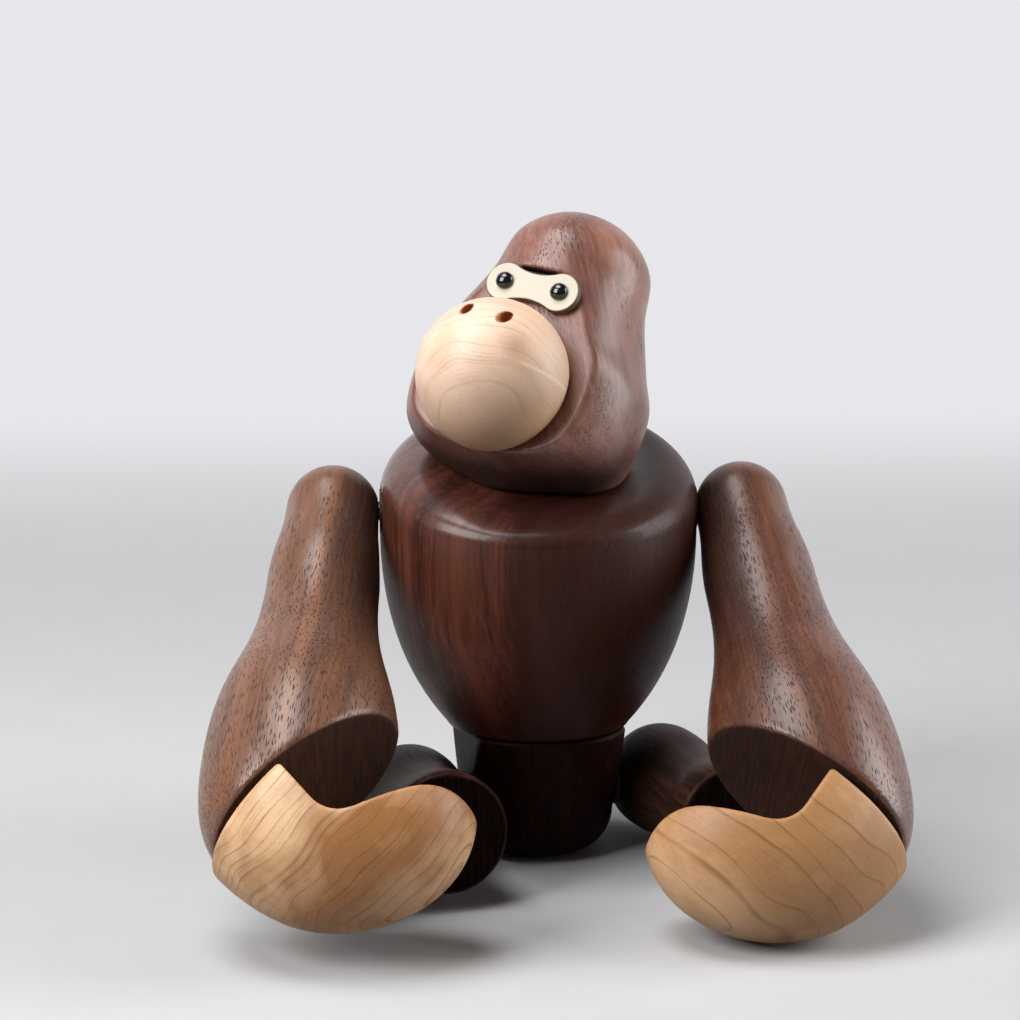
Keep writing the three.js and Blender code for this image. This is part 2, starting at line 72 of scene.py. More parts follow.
FINGER_LENGTH, FINGER_ROUND, FINGER_END_SLOPE = 31.7, 12.8, degrees(21.8)
FACE_SLOPE, FACE_FRONT, FACE_UP = degrees(46.8), 21.6, 28.0
HEAD, CROWN_Y, HEAD_AXIS_DEPTH = 30.0, 54.6, 19.4
HEAD_OUTLINE = [
    (0, -0.427), (0.57, -0.332), (0.84, -0.261), (0.98, -0.131), (1, 0.15),
    (0.862, 0.34), (0.691, 0.59), (0.602, 0.81), (0.343, 0.95), (0, 1),
]
MUZZLE, MUZZLE_RISE = 18.9, 5.5
NOSTRIL, NOSTRIL_DEPTH = 1.5, 4.0
NOSTRIL_LIFT, NOSTRIL_SPREAD, NOSTRIL_DROOP = degrees(32), degrees(18.8), degrees(14)
EYE_Y, EYE_X, PLATE_THICKNESS, PLATE_END, PLATE_WAIST = 25.6, 7.6, 2.0, 5.2, 3.6
PLATE_CORNER = degrees(60)
EYE, EYE_RISE = 2.3, 1.7
PIN, DOWEL, BUSH_WALL, BUSH_LENGTH, WASHER, WASHER_RIM = 2.5, 4.0, 1.5, 12.0, 1.0, 3.0
NECK_WASHER, NECK_PIN, WAIST_DOWEL, WRIST_PIN, WRIST_PIN_REACH = 11.0, 18.0, 15.0, 2.0, 12.0
PIN_IN_LIMB, BORE_END, MUZZLE_PIN = 13.0, 0.6, 9.0
EYE_SHANK, EYE_SHANK_LENGTH, EYE_RIM = 0.8, 1.0, 0.15
TORSO_FLARE, TORSO_FLARE_RISE, TORSO_SHOULDER_RISE = 0.55, 0.22, 0.53
ARM_END_FULLNESS = 0.75

# Rounded edges, and the slot between the eye plate and the brow
BORE_EDGE, SEAT_RIM, WAIST_RIM, HIP_EDGE, LEG_EDGE = 0.25, 0.6, 0.7, 1.0, 0.5
SHOULDER_EDGE, WRIST_EDGE, HAND_EDGE, NOTCH_EDGE = 0.15, 1.0, 0.8, 1.0
FACE_EDGE, NECK_EDGE, MUZZLE_EDGE, NOSTRIL_EDGE, PLATE_EDGE = 0.6, 1.2, 0.8, 0.2, 0.35
SLOT_WIDTH, SLOT_DROP, SLOT_HEIGHT, SLOT_DEPTH, SLOT_EDGE = 0.72, 1.3, 1.2, 1.5, 0.3

torso_foot = PELVIS_HEIGHT + GAP
shoulder_seat = TORSO - WASHER - GAP
arm_flat = shoulder_seat + WASHER + 2 * GAP
shoulder_x = arm_flat + ARM_TOP - ARM_FLAT_DEPTH
wrist_down = ARM_LENGTH - WRIST_FROM_END
leg_flat = HIP_FLAT_X + WASHER + 2 * GAP
hip_x = leg_flat + KNEE - LEG_FLAT_DEPTH
brow_y = EYE_Y + PLATE_END + GAP
bush = PIN + GAP + BUSH_WALL
washer = PIN + GAP + WASHER_RIM


# Places

def turn(axis, angle):
    c, s = math.cos(angle), math.sin(angle)
    a, b = [(1, 2), (2, 0), (0, 1)]["xyz".index(axis)]
    m = np.eye(4)
    m[a, a] = m[b, b] = c
    m[a, b], m[b, a] = -s, s
    return m


def move(x, y, z):
    m = np.eye(4)
    m[:3, 3] = x, y, z
    return m


MIRROR = np.diag([-1.0, 1, 1, 1])

pelvis_place = turn("z", WAIST_TWIST)
neck_place = move(0, 0, CHEST_Z) @ turn("x", CHEST_SLOPE) @ turn("z", HEAD_TURN)
face_place = neck_place @ move(0, -FACE_FRONT, FACE_UP) @ turn("x", FACE_SLOPE)


def side_place(side):
    return MIRROR if side == "left" else np.eye(4)


def leg_place(side):
    return pelvis_place @ move(0, 0, HIP_Z) @ turn("x", -HIP_LIFT[side]) @ side_place(side)


def arm_place(side):
    swing = turn("x", -ARM_SWING[side])
    return move(SIDES[side] * shoulder_x, 0, SHOULDER_Z) @ swing @ side_place(side)


wrist_in_arm = move(WRIST_OUT, 0, -wrist_down) @ turn("y", WRIST_TILT)


def hand_place(side):
    pin = move(WRIST_PIN_OUT, 0, 0)
    spin = turn("z", WRIST_TURN[side])
    return arm_place(side) @ wrist_in_arm @ pin @ spin @ move(-WRIST_PIN_OUT, 0, 0)


def seen_from(place, points):
    m = np.linalg.inv(place)
    return points @ m[:3, :3].T + m[:3, 3]


def ramp(value, low, high):
    """0 at low, 1 at high."""
    return np.clip((value - low) / (high - low), 0, 1)


# Distances: negative inside. Each shape below is a rule that gives a distance for points

def bezier(a, b, c, d, steps=14):
    t = np.linspace(0, 1, steps + 1)[1:, None]
    a, b, c, d = (np.array(p, float) for p in (a, b, c, d))
    return (1 - t) ** 3 * a + 3 * t * (1 - t) ** 2 * b + 3 * t * t * (1 - t) * c + t ** 3 * d


def arc(cx, cy, r, start, stop, steps=10):
    t = np.linspace(start, stop, steps + 1)
    return np.c_[cx + r * np.cos(t), cy + r * np.sin(t)]


def spline(knots, steps=8):
    k = np.array(knots, float)
    k = np.vstack([2 * k[0] - k[1], k, 2 * k[-1] - k[-2]])
    out = [k[1:2]]
    t = np.linspace(0, 1, steps + 1)[1:, None]
    for a, b, c, d in zip(k, k[1:], k[2:], k[3:]):
        square, cube = 2 * a - 5 * b + 4 * c - d, 3 * b - a - 3 * c + d
        out.append(0.5 * (2 * b + (c - a) * t + square * t ** 2 + cube * t ** 3))
    return np.vstack(out)


def polygon_distance(outline, u, v):
    """Signed distance from points (u, v) to a closed outline."""
    shape = u.shape
    p = np.c_[u.ravel(), v.ravel()]
    best = np.full(len(p), 1e9)
    inside = np.zeros(len(p), bool)
    for a, b in zip(outline, np.roll(outline, -1, 0)):
        ab = b - a
        length = ab @ ab
        if length < 1e-12:
            continue
        t = np.clip(((p - a) @ ab) / length, 0, 1)
        gap = p - a - t[:, None] * ab
        best = np.minimum(best, (gap * gap).sum(1))
        crosses = (a[1] > p[:, 1]) != (b[1] > p[:, 1])
        if ab[1]:
            inside ^= crosses & (p[:, 0] < a[0] + (p[:, 1] - a[1]) * ab[0] / ab[1])
    best = np.sqrt(best)
    return np.where(inside, -best, best).reshape(shape)


class Turned:
    """Distance to a body turned about an axis, read from a fine table of radius and height."""

    STEP = 0.3
    MARGIN = 9.0

    def __init__(self, outline):
        outline = np.vstack([np.atleast_2d(p) for p in outline])
        mirror = outline[::-1] * [-1, 1]
        whole = np.vstack([outline, mirror])
        self.low = outline[:, 1].min() - self.MARGIN
        radius = np.arange(0, outline[:, 0].max() + self.MARGIN, self.STEP)
        height = np.arange(self.low, outline[:, 1].max() + self.MARGIN, self.STEP)
        r, h = np.meshgrid(radius, height, indexing="ij")
        self.table = polygon_distance(whole, r, h)

    def __call__(self, radius, height):
        a = np.clip(radius / self.STEP, 0, self.table.shape[0] - 1.001)
        b = np.clip((height - self.low) / self.STEP, 0, self.table.shape[1] - 1.001)
        i, j = a.astype(int), b.astype(int)
        s, t = a - i, b - j
        k = self.table
        near = k[i, j] * (1 - t) + k[i, j + 1] * t
        far = k[i + 1, j] * (1 - t) + k[i + 1, j + 1] * t
        return near * (1 - s) + far * s


def both(a, b, round_edge):
    """What is inside both, with the edge between them rounded."""
    u = np.maximum(a + round_edge, 0)
    v = np.maximum(b + round_edge, 0)
    return np.minimum(-round_edge, np.maximum(a, b)) + np.hypot(u, v)


def bored(d, cutter, round_edge=BORE_EDGE):
    return both(d, -cutter, round_edge)


def bar(u, v, w, radius, low, high):
    """Distance to a round bar along w."""
    return np.maximum(np.hypot(u, v) - radius, np.maximum(low - w, w - high))


FAR = 400.0


# Skins: a net of quads over a distance rule, then drawn onto the true surface

PULLS, PROBE, LEAST_SLOPE = 3, 0.1, 0.2


def net(rule, low, high, step):
    low = np.array(low, float) - 2 * step
    count = np.ceil((np.array(high) + 2 * step - low) / step).astype(int) + 1
    axes = [low[i] + step * np.arange(count[i]) for i in range(3)]
    grid = np.stack(np.meshgrid(*axes, indexing="ij"), -1)
    value = rule(grid.reshape(-1, 3)).reshape(count)
    cells = count - 1
    total = np.zeros((*cells, 3))
    hits = np.zeros(cells)
    edges = []
    for axis in range(3):
        first = [slice(None)] * 3
        second = [slice(None)] * 3
        first[axis], second[axis] = slice(0, -1), slice(1, None)
        a, b = value[tuple(first)], value[tuple(second)]
        at = np.argwhere((a < 0) != (b < 0))
        va, vb = a[tuple(at.T)], b[tuple(at.T)]
        point = low + step * at
        point[:, axis] += step * va / (va - vb)
        p, q = [i for i in range(3) if i != axis]
        for dp in (0, 1):
            for dq in (0, 1):
                cell = at.copy()
                cell[:, p] -= dp
                cell[:, q] -= dq
                good = (cell >= 0).all(1) & (cell < cells).all(1)
                np.add.at(total, tuple(cell[good].T), point[good])
                np.add.at(hits, tuple(cell[good].T), 1)
        edges.append((axis, p, q, at, va < 0))
    used = hits > 0
    number = -np.ones(cells, int)
    number[used] = np.arange(used.sum())
    points = total[used] / hits[used][:, None]
    quads = []
    for axis, p, q, at, inner in edges:
        corners = []
        for dp, dq in ((1, 1), (0, 1), (0, 0), (1, 0)):
            cell = at.copy()
            cell[:, p] -= dp
            cell[:, q] -= dq
            corners.append(number[tuple(cell.T)])
        quad = np.stack(corners, 1)
        flip = inner if axis != 1 else ~inner
        quad[~flip] = quad[~flip][:, ::-1]
        quads.append(quad)
    for _ in range(PULLS):
        d = rule(points)
        slope = np.stack([
            (rule(points + h) - rule(points - h)) / (2 * PROBE) for h in PROBE * np.eye(3)
        ], 1)
        push = d / np.maximum((slope ** 2).sum(1), LEAST_SLOPE)
        points = points - np.clip(push, -step, step)[:, None] * slope
    return points, np.vstack(quads)


def skin(name, rule, place, low, high, step, grain, marks=None):
    """A smooth piece over a rule given in the piece's own place, with its grain kept on its points."""
    points, quads = net(rule, low, high, step * COARSE)
    world = points @ place[:3, :3].T + place[:3, 3]
    if np.linalg.det(place[:3, :3]) < 0:
        quads = quads[:, ::-1]
    mesh = bpy.data.meshes.new(name)
    mesh.from_pydata((world * MM).tolist(), [], quads.tolist())
    mesh.polygons.foreach_set("use_smooth", [True] * len(mesh.polygons))
    wood = mesh.attributes.new("grain", "FLOAT_VECTOR", "POINT")
    wood.data.foreach_set("vector", (grain(points) * CM).astype(np.float32).ravel())
    for key, mark in (marks or {}).items():
        kept = mesh.attributes.new(key, "FLOAT", "POINT")
        kept.data.foreach_set("value", mark(points).astype(np.float32))
    mesh.update()
    piece = bpy.data.objects.new(name, mesh)
    bpy.context.scene.collection.objects.link(piece)
    return piece


# Pelvis and legs

pelvis_turned = Turned([
    (0, 0),
    arc(PELVIS_FOOT - PELVIS_ROUND, PELVIS_ROUND, PELVIS_ROUND, -math.pi / 2, 0),
    arc(PELVIS_TOP - SEAT_RIM, PELVIS_HEIGHT - SEAT_RIM, SEAT_RIM, 0, math.pi / 2, 4),
    (0, PELVIS_HEIGHT),
])


def pelvis_rule(p):
    x, y, z = p.T
    d = pelvis_turned(np.hypot(x, y), z)
    d = both(d, np.abs(x) - HIP_FLAT_X, HIP_EDGE)
    d = bored(d, bar(y, z - HIP_Z, np.abs(x), bush + GAP, HIP_FLAT_X - BUSH_LENGTH - BORE_END, FAR))
    return bored(d, bar(x, y, z, DOWEL + GAP, torso_foot - WAIST_DOWEL - BORE_END, FAR))


shin_y = LEG_LENGTH / 2
rim_y = LEG_LENGTH - SOLE_ROUND
leg_turned = Turned([
    arc(0, 0, KNEE, -math.pi / 2, 0, 16),
    bezier((KNEE, 0), (KNEE, shin_y / 2), (SHIN, shin_y / 2), (SHIN, shin_y)),
    bezier((SHIN, shin_y), (SHIN, 1.5 * shin_y), (SOLE, 1.5 * shin_y), (SOLE, rim_y)),
    arc(SOLE - SOLE_ROUND, rim_y, SOLE_ROUND, 0, math.pi / 2, 6),
    (0, LEG_LENGTH),
])
leg_axis = move(hip_x, 0, 0) @ turn("z", LEG_SPLAY)


def leg_rule(p):
    x, y, z = p.T
    u, v, w = seen_from(leg_axis, p).T
    d = leg_turned(np.hypot(u, w), -v)
    d = both(d, leg_flat - x, LEG_EDGE)
    return bored(d, bar(y, z, x, PIN + GAP, -FAR, leg_flat + PIN_IN_LIMB + BORE_END))


# Torso

rise, swell = WIDEST_Z - torso_foot, TORSO - TORSO_FOOT
torso_turned = Turned([
    (0, torso_foot),
    arc(TORSO_FOOT - WAIST_RIM, torso_foot + WAIST_RIM, WAIST_RIM, -math.pi / 2, 0, 4),
    bezier(
        (TORSO_FOOT, torso_foot + WAIST_RIM),
        (TORSO_FOOT + TORSO_FLARE * swell, torso_foot + TORSO_FLARE_RISE * rise),
        (TORSO, torso_foot + TORSO_SHOULDER_RISE * rise),
        (TORSO, WIDEST_Z), 20,
    ),
    arc(TORSO - CHEST_ROUND, CHEST_Z - CHEST_ROUND, CHEST_ROUND, 0, math.pi / 2),
    (0, CHEST_Z),
])


def upright(y, z):
    """Height before the chest was leaned forward."""
    slope, span = math.tan(CHEST_SLOPE), CHEST_Z - LEAN_START_Z
    rounds, least = 8, 0.25
    h = z - 0.5 * y * slope
    for _ in range(rounds):
        share = ramp(h, LEAN_START_Z, CHEST_Z)
        bend = np.where((share > 0) & (share < 1), 2 * share * y * slope / span, 0)
        h = h - (h + share ** 2 * y * slope - z) / np.maximum(1 + bend, least)
    return h


def torso_rule(p):
    x, y, z = p.T
    d = torso_turned(np.hypot(x, y), upright(y, z))
    out = np.abs(x)
    d = bored(d, bar(y, z - SHOULDER_Z, out, washer + GAP, shoulder_seat, FAR))
    d = bored(d, bar(y, z - SHOULDER_Z, out, bush + GAP, shoulder_seat - BUSH_LENGTH - BORE_END, FAR))
    d = bored(d, bar(x, y, z, DOWEL + GAP, -FAR, torso_foot + WAIST_DOWEL + BORE_END))
    u, v, w = seen_from(neck_place, p).T
    d = bored(d, bar(u, v, w, NECK_WASHER + GAP, -WASHER - GAP, FAR))
    return bored(d, bar(u, v, w, DOWEL + 2 * GAP + BUSH_WALL, -NECK_PIN - BORE_END, FAR))


# Arms and hands

def egg_end(radius, start, stop, fullness, steps=18):
    reach = fullness * (stop - start)
    return bezier((radius, start), (radius, start + reach), (fullness * radius, stop), (0, stop), steps)


middle = (FOREARM_DOWN + BULB_DOWN) / 2
club = Turned([
    arc(0, 0, ARM_TOP, -math.pi / 2, 0, 14),
    bezier((ARM_TOP, 0), (ARM_TOP, FOREARM_DOWN / 2), (FOREARM, FOREARM_DOWN / 2), (FOREARM, FOREARM_DOWN)),
    bezier((FOREARM, FOREARM_DOWN), (FOREARM, middle), (BULB, middle), (BULB, BULB_DOWN), 20),
    egg_end(BULB, BULB_DOWN, ARM_LENGTH, ARM_END_FULLNESS),
])


def arm_rule(p):
    x, y, z = p.T
    u, v, w = seen_from(turn("y", -ARM_SPLAY), p).T
    d = club(np.hypot(u, v), -w)
    flat = ARM_FLAT_DEPTH - ARM_TOP
    d = bored(d, np.maximum(x - flat, -FOREARM_DOWN - z), SHOULDER_EDGE)
    a, b, c = seen_from(wrist_in_arm, p).T
    d = both(d, -c, WRIST_EDGE)
    d = bored(d, bar(y, z, x, PIN + GAP, -FAR, flat + PIN_IN_LIMB + BORE_END))
    return bored(d, bar(a - WRIST_PIN_OUT, b, c, WRIST_PIN + GAP, -FAR, WRIST_PIN_REACH + BORE_END))


back_of_hand = 0.5 * (HAND_WIDEST - HAND_TOP)
hand_egg = Turned([
    (0, -HAND_TOP),
    bezier((0, -HAND_TOP), (0.5 * HAND, -HAND_TOP), (HAND, back_of_hand), (HAND, HAND_WIDEST), 20),
    egg_end(HAND, HAND_WIDEST, HAND_LENGTH, HAND_TIP_FULLNESS, 24),
])


def mouth_outline():
    reach = 60.0

    def floor(from_wall):
        return NOTCH_HEIGHT + from_wall * math.tan(NOTCH_SLOPE)

    end = NOTCH_WALL + FINGER_LENGTH
    knuckle = floor(FINGER_LENGTH)
    lean = math.tan(FINGER_END_SLOPE)
    tip = np.array([end - FINGER_ROUND * lean, knuckle + FINGER_ROUND])
    top = np.array([end - FINGER_ROUND, floor(FINGER_LENGTH - FINGER_ROUND)])
    bend = np.array([end, knuckle])
    foot = np.array([NOTCH_WALL + NOTCH_ROUND, floor(NOTCH_ROUND)])
    corner = np.array([NOTCH_WALL, NOTCH_HEIGHT])
    wall = np.array([NOTCH_WALL, NOTCH_HEIGHT - NOTCH_ROUND])
    return np.vstack([
        (NOTCH_WALL, -reach), (reach, -reach), (reach, reach),
        (end - (reach - knuckle) * lean, reach), tip,
        bezier(tip, tip + (bend - tip) * 2 / 3, top + (bend - top) * 2 / 3, top),
        foot,
        bezier(foot, foot + (corner - foot) * 2 / 3, wall + (corner - wall) * 2 / 3, wall),
    ])


mouth = mouth_outline()


def hand_rule(p):
    x, y, z = p.T
    u, v, w = seen_from(turn("y", HAND_LEAN), p).T
    d = hand_egg(np.hypot(u, v / HAND_DEPTH), -w) * HAND_DEPTH
    d = both(d, z + WRIST_GAP, HAND_EDGE)
    d = both(d, -polygon_distance(mouth, -x, -z), NOTCH_EDGE)
    low = -WRIST_GAP - WRIST_PIN_REACH - BORE_END
    return bored(d, bar(x - WRIST_PIN_OUT, y, z, WRIST_PIN + GAP, low, FAR))


# Head, muzzle and eyes

head_egg = Turned([spline([(r * HEAD, h * CROWN_Y) for r, h in HEAD_OUTLINE])])
neck_from_face = np.linalg.inv(face_place) @ neck_place


def under_brow(p):
    """Distance to the slot between the plate and the brow."""
    x, y, z = p.T
    tall = np.abs(y - brow_y + SLOT_DROP) - SLOT_HEIGHT
    return np.maximum(np.abs(x) - SLOT_WIDTH * EYE_X, np.maximum(tall, -SLOT_DEPTH - z))


def head_rule(p):
    x, y, z = p.T
    d = head_egg(np.hypot(x, z + HEAD_AXIS_DEPTH), y)
    d = np.minimum(both(d, z, FACE_EDGE), both(d, brow_y - y, FACE_EDGE))
    d = bored(d, under_brow(p), SLOT_EDGE)
    u, v, w = seen_from(neck_from_face, p).T
    d = both(d, GAP - w, NECK_EDGE)
    d = bored(d, bar(u, v, w, DOWEL + GAP, -FAR, NECK_PIN + BORE_END))
    return bored(d, bar(x, y, z, DOWEL + GAP, -MUZZLE_PIN - BORE_END, FAR))


nostril_mouth = (turn("y", NOSTRIL_SPREAD) @ turn("x", -NOSTRIL_LIFT) @ [0, 0, MUZZLE, 1])[:3]
nostril_bore = move(*(nostril_mouth + [0, 0, MUZZLE_RISE])) @ turn("x", NOSTRIL_DROOP)


def nostril_depth(p):
    """Distance to the two drilled nostrils."""
    u, v, w = seen_from(nostril_bore, np.c_[np.abs(p[:, 0]), p[:, 1:]]).T
    return bar(u, v, w, NOSTRIL, -NOSTRIL_DEPTH, FAR)


def muzzle_rule(p):
    x, y, z = p.T
    d = np.linalg.norm(p - [0, 0, MUZZLE_RISE], axis=1) - MUZZLE
    d = both(d, GAP - z, MUZZLE_EDGE)
    d = bored(d, nostril_depth(p), NOSTRIL_EDGE)
    return bored(d, bar(x, y, z, DOWEL + GAP, -FAR, MUZZLE_PIN + BORE_END))


def plate_outline():
    cx, cy = EYE_X - PLATE_END * math.cos(PLATE_CORNER), PLATE_END * math.sin(PLATE_CORNER)
    end = arc(EYE_X, 0, PLATE_END, PLATE_CORNER - math.pi, math.pi - PLATE_CORNER, 28)
    dip = cy + (2 * PLATE_WAIST - 2 * cy) * 2 / 3
    top = bezier((cx, cy), (cx / 3, dip), (-cx / 3, dip), (-cx, cy))
    return np.vstack([end, top, -end, -top])


plate = plate_outline()


def past_plate(p):
    """Distance past the plate's outline."""
    return polygon_distance(plate, p[:, 0], p[:, 1] - EYE_Y)


def plate_rule(p):
    half = PLATE_THICKNESS / 2
    return both(past_plate(p), np.abs(p[:, 2] - GAP - half) - half, PLATE_EDGE)


eye_seat = PLATE_THICKNESS + 2 * GAP
dome = np.linspace(0.06, math.pi / 2, 20)
eye_turned = Turned([
    (0, -EYE_SHANK_LENGTH), (EYE_SHANK, -EYE_SHANK_LENGTH), (EYE_SHANK, 0), (EYE - EYE_RIM, 0),
    np.c_[EYE * np.cos(dome), EYE_RISE * np.sin(dome)],
])


def eye_rule(p):
    x, y, z = p.T
    return eye_turned(np.hypot(x - EYE_X, y - EYE_Y), z - eye_seat)


# Grain of the pieces

def along(*axes):
    """Grain with the named axes as its x, y and z, z along the fibres."""
    m = np.array(axes, float)
    return lambda p: p @ m.T


def layered(layers, fibres, start=(0, 0, 0)):
    """Grain with its growth layers square to one direction and its fibres along another."""
    y = np.array(layers, float) / np.linalg.norm(layers)
    z = np.array(fibres, float) - np.dot(fibres, y) * y
    z /= np.linalg.norm(z)
    grain = along(np.cross(y, z), y, z)
    return lambda p: grain(p) + start


UPRIGHT = along((1, 0, 0), (0, 1, 0), (0, 0, 1))
FORWARD = along((1, 0, 0), (0, 0, 1), (0, 1, 0))
ACROSS = along((0, 1, 0), (0, 0, 1), (1, 0, 0))
HEAD_GRAIN = layered((0.3, 0.1, 0.95), (0.55, -0.8, 0.1))
MUZZLE_GRAIN = layered((0.28, -0.95, 0.1), (0.94, 0.21, -0.28))
ARM_GRAIN = layered((0, 1, 0), (0.16, 0, -0.98))
HAND_GRAIN = {
    "left": layered((0.12, -0.3, 1), (1, 0, 0), (0, 23, 0)),
    "right": layered((0.08, -0.42, 0.9), (1, 0, 0), (16, 0, 40)),
}


# Shader maths

class Value:
    """A socket that can be used in Python expressions."""

    def __init__(self, finish, socket):
        self.finish = finish
        self.socket = socket

    def _math(self, operation, *values):
        return self.finish.node("ShaderNodeMath", {"operation": operation}, dict(enumerate(values)))

    def __add__(self, other):
        return self._math("ADD", self, other)

    __radd__ = __add__

    def __sub__(self, other):
        return self._math("SUBTRACT", self, other)

    def __rsub__(self, other):
        return self._math("SUBTRACT", other, self)

    def __mul__(self, other):
        return self._math("MULTIPLY", self, other)

    __rmul__ = __mul__

    def fraction(self):
        return self._math("FRACT", self)

    def clamp(self):
        return self.finish.node("ShaderNodeClamp", {}, {0: self})

    def step(self, low, high):
        """0 below low, 1 above high, smooth between."""
        settings = {"interpolation_type": "SMOOTHSTEP"}
        return self.finish.node("ShaderNodeMapRange", settings, {0: self, 1: low, 2: high})


SOCKETS = {
    "color": "Base Color", "roughness": "Roughness", "normal": "Normal", "metallic": "Metallic",
    "coat": "Coat Weight", "coat_roughness": "Coat Roughness", "specular": "Specular IOR Level",
}


class Finish:
    """A material and the nodes that make it."""

    def __init__(self, name):
        self.material = bpy.data.materials.new(name)
        self.material.use_nodes = True
        self.tree = self.material.node_tree
        self.shader = self.tree.nodes["Principled BSDF"]

    def put(self, socket, value):
        if isinstance(value, Value):
            self.tree.links.new(value.socket, socket)
        else:
            socket.default_value = value

    def node(self, kind, settings, inputs, out=0):
        n = self.tree.nodes.new(kind)
        for key, value in settings.items():
            setattr(n, key, value)
        for key, value in inputs.items():
            self.put(n.inputs[key], value)
        return Value(self, n.outputs[out])

    def grain(self):
        return self.node("ShaderNodeAttribute", {"attribute_name": "grain"}, {}, "Vector")

    def mark(self, name):
        return self.node("ShaderNodeAttribute", {"attribute_name": name}, {}, "Fac")

    def place(self):
        return self.node("ShaderNodeTexCoord", {}, {}, "Object")

    def stretch(self, vector, scale):
        return self.node("ShaderNodeVectorMath", {"operation": "MULTIPLY"}, {0: vector, 1: scale})

    def shift(self, vector, by):
        return self.node("ShaderNodeVectorMath", {"operation": "ADD"}, {0: vector, 1: by})

    def dot(self, vector, by):
        return self.node("ShaderNodeVectorMath", {"operation": "DOT_PRODUCT"}, {0: vector, 1: by}, "Value")

    def length(self, vector):
        return self.node("ShaderNodeVectorMath", {"operation": "LENGTH"}, {0: vector}, "Value")

    def noise(self, vector, scale=1.0, detail=2.0, rough=0.5, out="Fac"):
        inputs = {"Vector": vector, "Scale": scale, "Detail": detail, "Roughness": rough}
        return self.node("ShaderNodeTexNoise", {}, inputs, out)

    def streaks(self, grain, across, along, detail, rough, out="Fac"):
        """Noise with one scale across the grain and another along it."""
        return self.noise(self.stretch(grain, (across, across, along)), 1.0, detail, rough, out)

    def bend(self, grain, sway, reach):
        """Grain that wanders sideways by up to half the reach."""
        sway = self.shift(sway, (-0.5, -0.5, -0.5))
        return self.shift(grain, self.stretch(sway, (reach, reach, 0.0)))

    def rings(self, grain, heart, along):
        """Distance from the heart of the tree."""
        return self.length(self.stretch(self.shift(grain, heart), (1.0, 1.0, along)))

    def line(self, value):
        return self.node("ShaderNodeCombineXYZ", {}, {0: value})

    def part(self, vector, axis):
        return self.node("ShaderNodeSeparateXYZ", {}, {0: vector}, axis)

    def pores(self, grain, across, along, size):
        """Short spindles along the grain, 1 inside them."""
        place = self.stretch(grain, (across, across, along))
        inputs = {"Vector": place, "Scale": 1.0}
        cell = self.node("ShaderNodeTexVoronoi", {"feature": "F1"}, inputs, "Distance")
        return 1 - cell.step(0.55 * size, size)

    def mix(self, share, a, b):
        """Colours a to b."""
        return self.node("ShaderNodeMix", {"data_type": "RGBA"}, {0: share, 6: a, 7: b}, 2)

    def bump(self, height, strength, distance):
        inputs = {"Height": height, "Strength": strength, "Distance": distance}
        return self.node("ShaderNodeBump", {}, inputs)

    def surface(self, **values):
        for key, value in values.items():
            self.put(self.shader.inputs[SOCKETS[key]], value)
        return self.material


def rgb(r, g, b):
    return (r, g, b, 1.0)


# The second colour is painted shade, laid where a piece is marked as shaded.
PORE, PAINTED_SHADE = rgb(0.022, 0.008, 0.005), rgb(0.014, 0.005, 0.004)
SAWN = 0.3  # tone of a sawn face against the rest: partly its end grain, partly painted shade
